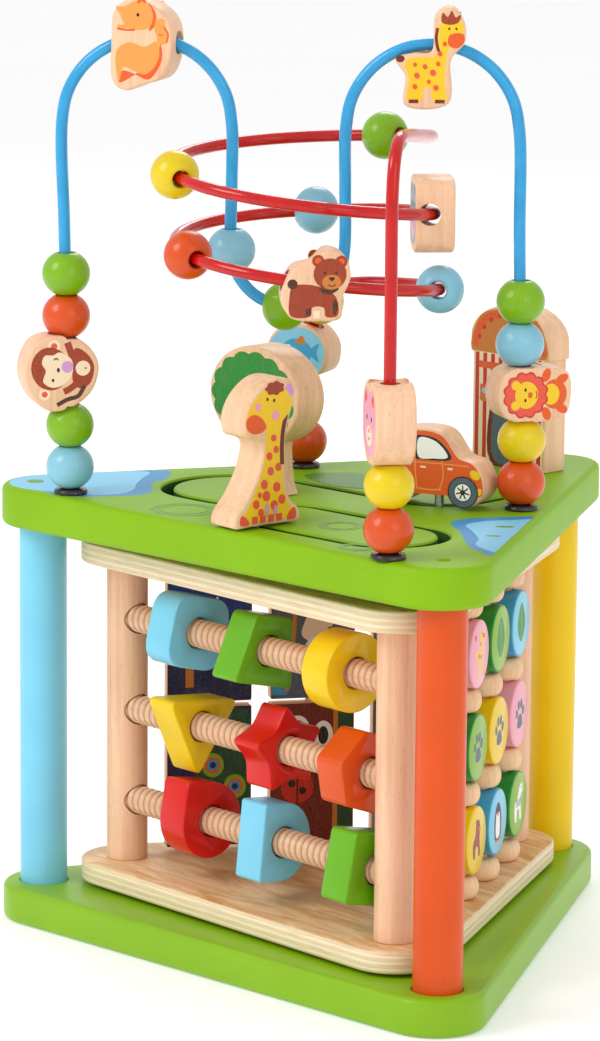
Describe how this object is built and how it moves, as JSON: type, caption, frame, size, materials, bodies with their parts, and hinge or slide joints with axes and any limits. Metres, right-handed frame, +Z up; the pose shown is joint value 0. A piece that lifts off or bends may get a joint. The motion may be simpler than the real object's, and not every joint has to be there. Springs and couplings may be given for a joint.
{
  "type": "wooden activity centre with carousel and bead wires",
  "caption": "Three-sided wooden activity centre: a carousel of screw nuts, flip discs and picture panels between two boards, with bent bead wires, beads, animal blocks and figures on top.",
  "frame": {"origin": "centre of the base board's underside, on the carousel's axis", "axes": "+Z up along the carousel's axis; the side with the screw nuts faces -Y, the barn's corner points to +Y"},
  "size_m": [0.3284, 0.3066, 0.4918],
  "materials": {
    "lime_paint": "smooth lime-green paint on board",
    "sky_paint": "smooth sky-blue paint on beech",
    "pale_blue_paint": "glossy pale-blue lacquer on beech",
    "orange_paint": "glossy orange lacquer on beech",
    "yellow_paint": "glossy yellow lacquer on beech",
    "green_paint": "glossy green lacquer on beech",
    "red_paint": "smooth red paint on beech",
    "pink_paint": "smooth pink paint on beech",
    "printed_beech": "bare beech edges with printed pictures on the faces",
    "bare_beech": "clear-varnished beech",
    "birch_plywood": "clear-varnished plywood with the layers showing at the edge",
    "panel_print": "printed picture on a thin wooden tile",
    "blue_wire_coat": "glossy blue plastic-dipped steel wire",
    "red_wire_coat": "glossy red plastic-dipped steel wire"
  },
  "bodies": {
    "stand": {"base_plate": "lime_paint", "post_blue": "sky_paint", "post_orange": "orange_paint", "post_yellow": "yellow_paint", "top_plate": "lime_paint", "wire_blue": "blue_wire_coat", "wire_red": "red_wire_coat", "tree_figure": "printed_beech", "barn_figure": "printed_beech"},
    "carousel": {"carousel_lower_plate": "birch_plywood", "carousel_upper_plate": "birch_plywood", "inner_post_left": "bare_beech", "inner_post_right": "bare_beech", "inner_post_back": "bare_beech", "thread_rod_top": "bare_beech", "thread_rod_middle": "bare_beech", "thread_rod_bottom": "bare_beech"},
    "nut_cushion_blue": {"nut_cushion_blue": "sky_paint"},
    "nut_wedge_green": {"nut_wedge_green": "green_paint"},
    "nut_round_yellow": {"nut_round_yellow": "yellow_paint"},
    "nut_triangle_yellow": {"nut_triangle_yellow": "yellow_paint"},
    "nut_star_red": {"nut_star_red": "red_paint"},
    "nut_hexagon_orange": {"nut_hexagon_orange": "orange_paint"},
    "nut_drop_red": {"nut_drop_red": "red_paint"},
    "nut_dome_blue": {"nut_dome_blue": "sky_paint"},
    "nut_square_green": {"nut_square_green": "green_paint"},
    "disc_1_1": {"disc_1_1": "pale_blue_paint"},
    "disc_1_2": {"disc_1_2": "pink_paint"},
    "disc_1_3": {"disc_1_3": "yellow_paint"},
    "disc_2_1": {"disc_2_1": "pink_paint"},
    "disc_2_2": {"disc_2_2": "green_paint"},
    "disc_2_3": {"disc_2_3": "yellow_paint"},
    "disc_3_1": {"disc_3_1": "green_paint"},
    "disc_3_2": {"disc_3_2": "yellow_paint"},
    "disc_3_3": {"disc_3_3": "sky_paint"},
    "disc_4_1": {"disc_4_1": "sky_paint"},
    "disc_4_2": {"disc_4_2": "pink_paint"},
    "disc_4_3": {"disc_4_3": "green_paint"},
    "picture_panel_1": {"picture_panel_1": "panel_print"},
    "picture_panel_2": {"picture_panel_2": "panel_print"},
    "picture_panel_3": {"picture_panel_3": "panel_print"},
    "giraffe_figure": {"giraffe_figure": "printed_beech"},
    "car_figure": {"car_figure": "printed_beech"},
    "left_beads_low": {"left_beads_low": "pale_blue_paint"},
    "right_beads_low": {"right_beads_low": "orange_paint"},
    "front_beads": {"front_beads": "yellow_paint"},
    "left_beads_high": {"left_beads_high": "green_paint"},
    "right_beads_high": {"right_beads_high": "green_paint"},
    "monkey_block": {"monkey_block": "printed_beech"},
    "lion_block": {"lion_block": "printed_beech"},
    "cat_block": {"cat_block": "printed_beech"},
    "fish_block": {"fish_block": "printed_beech"},
    "squirrel_block": {"squirrel_block": "printed_beech"},
    "giraffe_block": {"giraffe_block": "printed_beech"},
    "spiral_bead_green": {"spiral_bead_green": "green_paint"},
    "spiral_bead_yellow": {"spiral_bead_yellow": "yellow_paint"},
    "spiral_bead_blue": {"spiral_bead_blue": "pale_blue_paint"},
    "spiral_bead_orange": {"spiral_bead_orange": "orange_paint"},
    "hippo_block": {"hippo_block": "printed_beech"},
    "bear_block": {"bear_block": "printed_beech"}
  },
  "joints": [
    {"name": "carousel_turn", "type": "hinge", "parent": "stand", "child": "carousel", "pos_m": [0, 0, 0.11], "axis": [0, 0, 1], "continuous": true},
    {"name": "nut_cushion_blue_slide", "type": "slide", "parent": "carousel", "child": "nut_cushion_blue", "axis": [0.9976, -0.0698, 0], "range_m": [-0.008, 0.017]},
    {"name": "nut_wedge_green_slide", "type": "slide", "parent": "carousel", "child": "nut_wedge_green", "axis": [0.9976, -0.0698, 0], "range_m": [-0.017, 0.022]},
    {"name": "nut_round_yellow_slide", "type": "slide", "parent": "carousel", "child": "nut_round_yellow", "axis": [0.9976, -0.0698, 0], "range_m": [-0.022, 0.019]},
    {"name": "nut_triangle_yellow_slide", "type": "slide", "parent": "carousel", "child": "nut_triangle_yellow", "axis": [0.9976, -0.0698, 0], "range_m": [-0.008, 0.024]},
    {"name": "nut_star_red_slide", "type": "slide", "parent": "carousel", "child": "nut_star_red", "axis": [0.9976, -0.0698, 0], "range_m": [-0.024, 0.02]},
    {"name": "nut_hexagon_orange_slide", "type": "slide", "parent": "carousel", "child": "nut_hexagon_orange", "axis": [0.9976, -0.0698, 0], "range_m": [-0.02, 0.007]},
    {"name": "nut_drop_red_slide", "type": "slide", "parent": "carousel", "child": "nut_drop_red", "axis": [0.9976, -0.0698, 0], "range_m": [-0.015, 0.018]},
    {"name": "nut_dome_blue_slide", "type": "slide", "parent": "carousel", "child": "nut_dome_blue", "axis": [0.9976, -0.0698, 0], "range_m": [-0.018, 0.025]},
    {"name": "nut_square_green_slide", "type": "slide", "parent": "carousel", "child": "nut_square_green", "axis": [0.9976, -0.0698, 0], "range_m": [-0.025, 0.002]},
    {"name": "disc_1_1_flip", "type": "hinge", "parent": "carousel", "child": "disc_1_1", "pos_m": [0.08855, -0.02323, 0.1626], "axis": [0, 0, 1], "continuous": true},
    {"name": "disc_1_2_flip", "type": "hinge", "parent": "carousel", "child": "disc_1_2", "pos_m": [0.08855, -0.02323, 0.1136], "axis": [0, 0, 1], "continuous": true},
    {"name": "disc_1_3_flip", "type": "hinge", "parent": "carousel", "child": "disc_1_3", "pos_m": [0.08855, -0.02323, 0.0646], "axis": [0, 0, 1], "continuous": true},
    {"name": "disc_2_1_flip", "type": "hinge", "parent": "carousel", "child": "disc_2_1", "pos_m": [0.0711, 0.01254, 0.1626], "axis": [0, 0, 1], "continuous": true},
    {"name": "disc_2_2_flip", "type": "hinge", "parent": "carousel", "child": "disc_2_2", "pos_m": [0.0711, 0.01254, 0.1136], "axis": [0, 0, 1], "continuous": true},
    {"name": "disc_2_3_flip", "type": "hinge", "parent": "carousel", "child": "disc_2_3", "pos_m": [0.0711, 0.01254, 0.0646], "axis": [0, 0, 1], "continuous": true},
    {"name": "disc_3_1_flip", "type": "hinge", "parent": "carousel", "child": "disc_3_1", "pos_m": [0.05365, 0.04831, 0.1626], "axis": [0, 0, 1], "continuous": true},
    {"name": "disc_3_2_flip", "type": "hinge", "parent": "carousel", "child": "disc_3_2", "pos_m": [0.05365, 0.04831, 0.1136], "axis": [0, 0, 1], "continuous": true},
    {"name": "disc_3_3_flip", "type": "hinge", "parent": "carousel", "child": "disc_3_3", "pos_m": [0.05365, 0.04831, 0.0646], "axis": [0, 0, 1], "continuous": true},
    {"name": "disc_4_1_flip", "type": "hinge", "parent": "carousel", "child": "disc_4_1", "pos_m": [0.03621, 0.08408, 0.1626], "axis": [0, 0, 1], "continuous": true},
    {"name": "disc_4_2_flip", "type": "hinge", "parent": "carousel", "child": "disc_4_2", "pos_m": [0.03621, 0.08408, 0.1136], "axis": [0, 0, 1], "continuous": true},
    {"name": "disc_4_3_flip", "type": "hinge", "parent": "carousel", "child": "disc_4_3", "pos_m": [0.03621, 0.08408, 0.0646], "axis": [0, 0, 1], "continuous": true},
    {"name": "picture_panel_1_flip", "type": "hinge", "parent": "carousel", "child": "picture_panel_1", "pos_m": [-0.0886, -0.01261, 0.1136], "axis": [0, 0, 1], "continuous": true},
    {"name": "picture_panel_2_flip", "type": "hinge", "parent": "carousel", "child": "picture_panel_2", "pos_m": [-0.05729, 0.03381, 0.1136], "axis": [0, 0, 1], "continuous": true},
    {"name": "picture_panel_3_flip", "type": "hinge", "parent": "carousel", "child": "picture_panel_3", "pos_m": [-0.02597, 0.08024, 0.1136], "axis": [0, 0, 1], "continuous": true},
    {"name": "giraffe_figure_slide", "type": "slide", "parent": "stand", "child": "giraffe_figure", "axis": [1, 0, 0], "range_m": [0, 0.06]},
    {"name": "car_figure_drive", "type": "hinge", "parent": "stand", "child": "car_figure", "pos_m": [0.03, 0.039, 0.2347], "axis": [0, 0, 1], "range_deg": [-45, 0]},
    {"name": "left_beads_low_spin", "type": "hinge", "parent": "stand", "child": "left_beads_low", "pos_m": [-0.10883, -0.09393, 0.2598], "axis": [0, 0, 1], "continuous": true},
    {"name": "right_beads_low_spin", "type": "hinge", "parent": "stand", "child": "right_beads_low", "pos_m": [0.08157, 0.04257, 0.2598], "axis": [0, 0, 1], "continuous": true},
    {"name": "front_beads_spin", "type": "hinge", "parent": "stand", "child": "front_beads", "pos_m": [0.1214, -0.099, 0.2598], "axis": [0, 0, 1], "continuous": true},
    {"name": "left_beads_high_slide", "type": "slide", "parent": "stand", "child": "left_beads_high", "axis": [-0.0184, -0.0132, 0.9997], "range_m": [0, 0.056]},
    {"name": "right_beads_high_slide", "type": "slide", "parent": "stand", "child": "right_beads_high", "axis": [-0.0184, -0.0132, 0.9997], "range_m": [0, 0.06]},
    {"name": "monkey_block_spin", "type": "hinge", "parent": "stand", "child": "monkey_block", "pos_m": [-0.10967, -0.09454, 0.2992], "axis": [0, 0, 1], "continuous": true},
    {"name": "lion_block_spin", "type": "hinge", "parent": "stand", "child": "lion_block", "pos_m": [0.0808, 0.04201, 0.2954], "axis": [0, 0, 1], "continuous": true},
    {"name": "cat_block_slide", "type": "slide", "parent": "stand", "child": "cat_block", "axis": [0, 0, 1], "range_m": [0, 0.08]},
    {"name": "fish_block_spin", "type": "hinge", "parent": "stand", "child": "fish_block", "pos_m": [-0.0765, 0.0502, 0.2985], "axis": [0.1891, 0.0182, 0.9818], "continuous": true},
    {"name": "squirrel_block_ride", "type": "hinge", "parent": "stand", "child": "squirrel_block", "pos_m": [-0.07632, -0.07063, 0.427], "axis": [0.5827, -0.8127, 0], "range_deg": [-50, 50]},
    {"name": "giraffe_block_ride", "type": "hinge", "parent": "stand", "child": "giraffe_block", "pos_m": [0.04258, 0.01461, 0.427], "axis": [0.5827, -0.8127, 0], "range_deg": [-50, 50]},
    {"name": "spiral_bead_green_ride", "type": "hinge", "parent": "stand", "child": "spiral_bead_green", "pos_m": [-0.01351, -0.02462, 0.4196], "axis": [-0.07, 0.0175, 0.9974], "range_deg": [-10, 20]},
    {"name": "spiral_bead_yellow_ride", "type": "hinge", "parent": "stand", "child": "spiral_bead_yellow", "pos_m": [-0.01223, -0.02294, 0.40353], "axis": [0.102, -0.0205, 0.9946], "range_deg": [-30, 30]},
    {"name": "spiral_bead_blue_ride", "type": "hinge", "parent": "stand", "child": "spiral_bead_blue", "pos_m": [-0.01098, -0.02198, 0.37718], "axis": [-0.0499, -0.0371, 0.9981], "range_deg": [-24, 20]},
    {"name": "spiral_bead_orange_ride", "type": "hinge", "parent": "stand", "child": "spiral_bead_orange", "pos_m": [-0.00988, -0.02046, 0.36418], "axis": [0.1068, -0.0088, 0.9942], "range_deg": [-30, 30]},
    {"name": "hippo_block_ride", "type": "hinge", "parent": "stand", "child": "hippo_block", "pos_m": [-0.01199, -0.02298, 0.38687], "axis": [-0.0345, 0.0921, 0.9952], "range_deg": [-20, 20]},
    {"name": "bear_block_ride", "type": "hinge", "parent": "stand", "child": "bear_block", "pos_m": [-0.01066, -0.01995, 0.35708], "axis": [0.0826, 0.0863, 0.9928], "range_deg": [-20, 20]}
  ]
}
